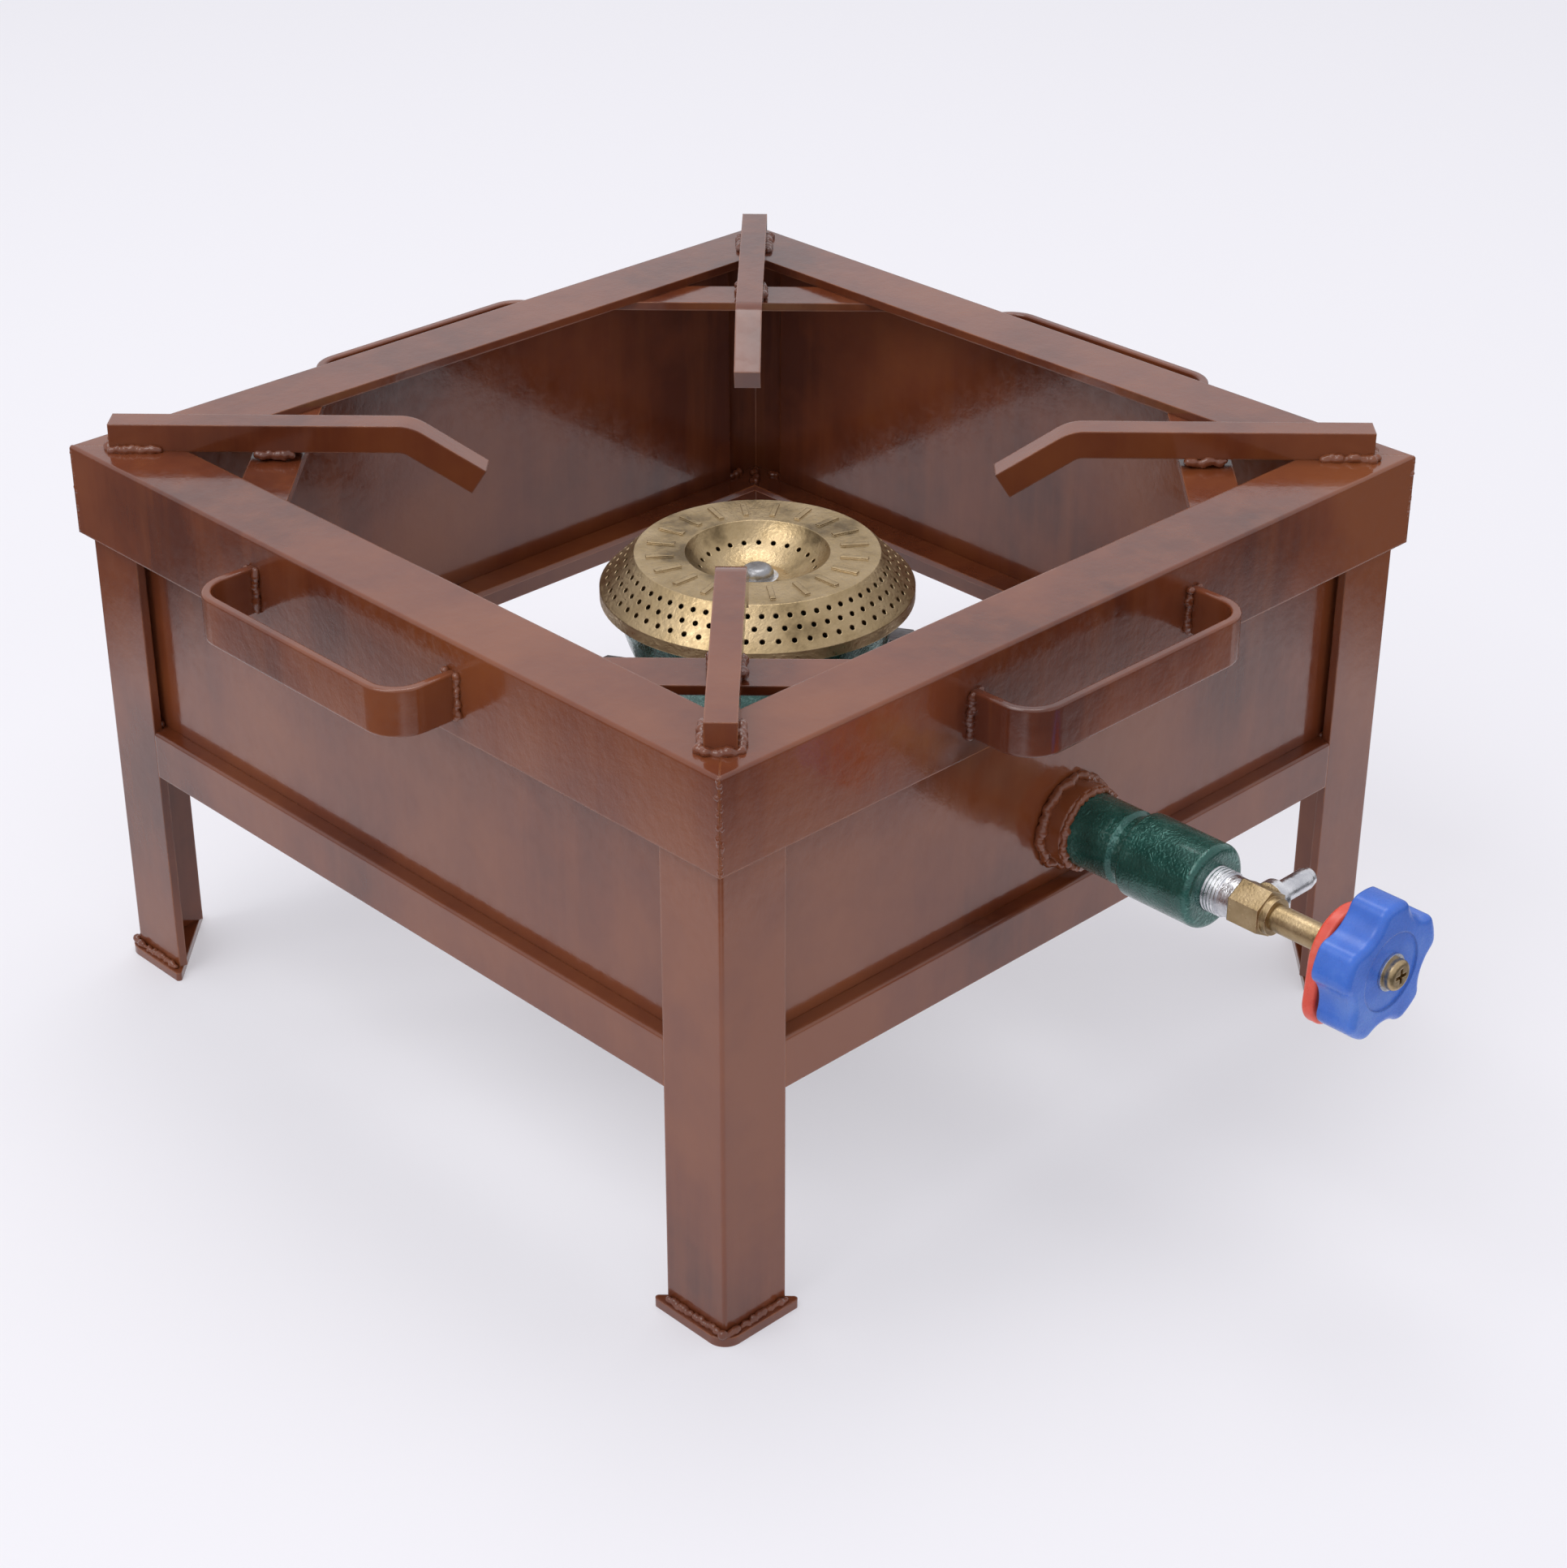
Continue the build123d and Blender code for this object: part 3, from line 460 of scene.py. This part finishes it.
handleWeld = {
    "shift": -8,
    "half": 65,
    "offsets": (-0.6, 4.6),
    "face": 200.9,
    "bottom": 219,
    "top": 237,
    "width": 3.4,
    "seed": 13,
}
pipeHeight = 150
outerPipeWeld = {"radius": 16.4, "distance": 200.4, "count": 26, "width": 3.2, "seed": 17}
panelPipeWeld = {"radius": 18.6, "distance": 190.4, "count": 30, "width": 4.4, "seed": 19}


def layBead(name, paths, sizes):
    return weldBead(name, paths, sizes["width"] / 1000, sizes["seed"])


def diagonalRun(start, stop, aside, height):
    return millimetres(alongDiagonal(start, aside, height), alongDiagonal(stop, aside, height))


def cornerBeads():
    height = frameTop + supportWeld["lift"]
    supportPaths = [
        diagonalRun(supportWeld["start"], supportWeld["stop"], side, height)
        for side in (-supportWeld["aside"], supportWeld["aside"])
    ]
    tipHeight = frameTop + supportTip["lift"]
    tipEnds = [
        alongDiagonal(supportTip["distance"], side, tipHeight)
        for side in (-supportTip["aside"], supportTip["aside"])
    ]
    supportPaths.append(millimetres(*tipEnds))
    bracePaths = [
        diagonalRun(braceWeld["start"], braceWeld["stop"], side, frameTop - braceWeld["drop"])
        for side in (-braceWeld["aside"], braceWeld["aside"])
    ]
    edge, start, stop, lift = (footWeld[key] for key in ("edge", "start", "stop", "height"))
    footPaths = [
        millimetres((-start, -edge, lift), (-stop, -edge, lift)),
        millimetres((-edge, -stop, lift), (-edge, -start, lift)),
    ]
    corner = cornerWeld["edge"]
    seam = millimetres((-corner, -corner, cornerWeld["bottom"]), (-corner, -corner, cornerWeld["top"]))
    railPaths = [millimetres(*path) for path in railWeld["paths"]]
    return {
        "support_weld": layBead("support_weld", supportPaths, supportWeld),
        "brace_weld": layBead("brace_weld", bracePaths, braceWeld),
        "foot_weld": layBead("foot_weld", footPaths, footWeld),
        "corner_weld": layBead("corner_weld", [seam], cornerWeld),
        "rail_weld": layBead("rail_weld", railPaths, railWeld),
    }


def sideBeads():
    face, bottom, top = handleWeld["face"], handleWeld["bottom"], handleWeld["top"]
    handlePaths = []
    for inward in (1, -1):
        for offset in handleWeld["offsets"]:
            x = handleWeld["shift"] - inward * handleWeld["half"] + inward * offset
            handlePaths.append(millimetres((x, -face, bottom), (x, -face, top)))
    return {"handle_weld": layBead("handle_weld", handlePaths, handleWeld)}


def ringPath(radius, distance, height, count):
    angles = [2 * math.pi * index / count for index in range(count + 1)]
    return [
        (radius * math.cos(angle), -distance, height + radius * math.sin(angle))
        for angle in angles
    ]


def addWelds():
    for makeBeads, turns in ((cornerBeads, cornerTurns), (sideBeads, sideTurns)):
        firstPlace, *otherPlaces = turns
        for name, bead in makeBeads().items():
            for place in otherPlaces:
                turnedCopy(bead, f"{name}_{place}", turns[place])
            bead.name = f"{name}_{firstPlace}"
    rings = {"pipe_weld_outer": outerPipeWeld, "pipe_weld_panel": panelPipeWeld}
    for name, ring in rings.items():
        path = ringPath(ring["radius"], ring["distance"], pipeHeight, ring["count"])
        layBead(name, [millimetres(*path)], ring)


addWelds()
print("welds done")


# studio: pale floor, soft light all round and two large lamps above
studio = {
    "floorSize": 14.0,
    "floorColor": (0.50, 0.495, 0.515),
    "floorGlow": (0.345, 0.342, 0.362),
    "worldColor": (0.96, 0.955, 1.0),
    "worldStrength": 0.82,
    "cardInside": (0.42, 0.52),
    "cardOutside": 7.0,
    "cardLift": 0.002,
    "cardStrength": 0.9,
    "paintedReflectionColor": (0.02, 0.02, 0.02),
}


def addStudio():
    clearSelection()
    bpy.ops.mesh.primitive_plane_add(size=studio["floorSize"], location=(0, 0, 0))
    floor = bpy.context.object
    floor.name = "studio_floor"
    material, _, shader, _ = newMaterial("paleFloor")
    shader.inputs["Base Color"].default_value = (*studio["floorColor"], 1)
    shader.inputs["Roughness"].default_value = 0.7
    shader.inputs["Specular IOR Level"].default_value = 0.2
    shader.inputs["Emission Color"].default_value = (*studio["floorGlow"], 1)
    shader.inputs["Emission Strength"].default_value = 1.0
    floor.data.materials.append(material)
    world = bpy.data.worlds.new("studioWorld")
    bpy.context.scene.world = world
    world.use_nodes = True
    background = world.node_tree.nodes["Background"]
    background.inputs["Color"].default_value = (*studio["worldColor"], 1)
    background.inputs["Strength"].default_value = studio["worldStrength"]


# painted dark reflection: a dark sheet far from the stand that only glossy reflections see, hidden from the
# camera, from diffuse light and from shadows
def addPaintedReflectionCard():
    clearSelection()
    bpy.ops.mesh.primitive_plane_add(size=2 * studio["cardOutside"], location=(0, 0, studio["cardLift"]))
    card = bpy.context.object
    card.name = "painted_reflection_card"
    card.visible_camera = card.visible_diffuse = card.visible_shadow = False
    material, tree, shader, links = newMaterial("paintedReflectionCard")
    spot = addNode(tree, "ShaderNodeTexCoord").outputs["Object"]
    place = addNode(tree, "ShaderNodeSeparateXYZ", {0: spot})
    spans = [
        addNode(tree, "ShaderNodeMath", {0: place.outputs[axis]}, operation="ABSOLUTE").outputs[0]
        for axis in "XY"
    ]
    farthest = addNode(tree, "ShaderNodeMath", {0: spans[0], 1: spans[1]}, operation="MAXIMUM").outputs[0]
    links.new(mapRange(tree, farthest, *studio["cardInside"], 0.0, studio["cardStrength"]), shader.inputs["Alpha"])
    # colour of the painted dark reflection
    shader.inputs["Base Color"].default_value = (*studio["paintedReflectionColor"], 1)
    shader.inputs["Roughness"].default_value = 1.0
    shader.inputs["Specular IOR Level"].default_value = 0.0
    card.data.materials.append(material)


lamps = {
    "aim": (0, 0, 0.1),
    "size": 1.4,
    "keyPlace": (-1.5, 0.1, 2.3),
    "keyPower": 18,
    "topPlace": (0.5, 0.5, 2.8),
    "topPower": 20,
}


def addLamp(name, place, power):
    data = bpy.data.lights.new(name, "AREA")
    data.energy = power
    data.size = lamps["size"]
    lamp = bpy.data.objects.new(name, data)
    bpy.context.collection.objects.link(lamp)
    lamp.location = place
    lamp.rotation_euler = (Vector(lamps["aim"]) - Vector(place)).to_track_quat("-Z", "Y").to_euler()


addStudio()
# painted dark reflection, seen only in glossy surfaces
addPaintedReflectionCard()
addLamp("keyLamp", lamps["keyPlace"], lamps["keyPower"])
addLamp("topLamp", lamps["topPlace"], lamps["topPower"])


# camera: a long lens from the front left, looking down at the corner
view = {
    "place": (-0.837, -0.886, 0.774),
    "forward": (0.6081, 0.6247, -0.4898),
    "up": (0.3401, 0.3525, 0.8718),
    "lens": 72.14,
    "sensor": 36,
}


def addCamera():
    data = bpy.data.cameras.new("viewCamera")
    data.lens = view["lens"]
    data.sensor_width = view["sensor"]
    camera = bpy.data.objects.new("viewCamera", data)
    bpy.context.collection.objects.link(camera)
    back = -Vector(view["forward"]).normalized()
    right = Vector(view["up"]).cross(back).normalized()
    up = back.cross(right)
    turn = Matrix((right, up, back)).transposed().to_4x4()
    camera.matrix_world = Matrix.Translation(view["place"]) @ turn
    bpy.context.scene.camera = camera


addCamera()
bpy.context.scene.view_settings.view_transform = "Standard"
print("studio and camera done")
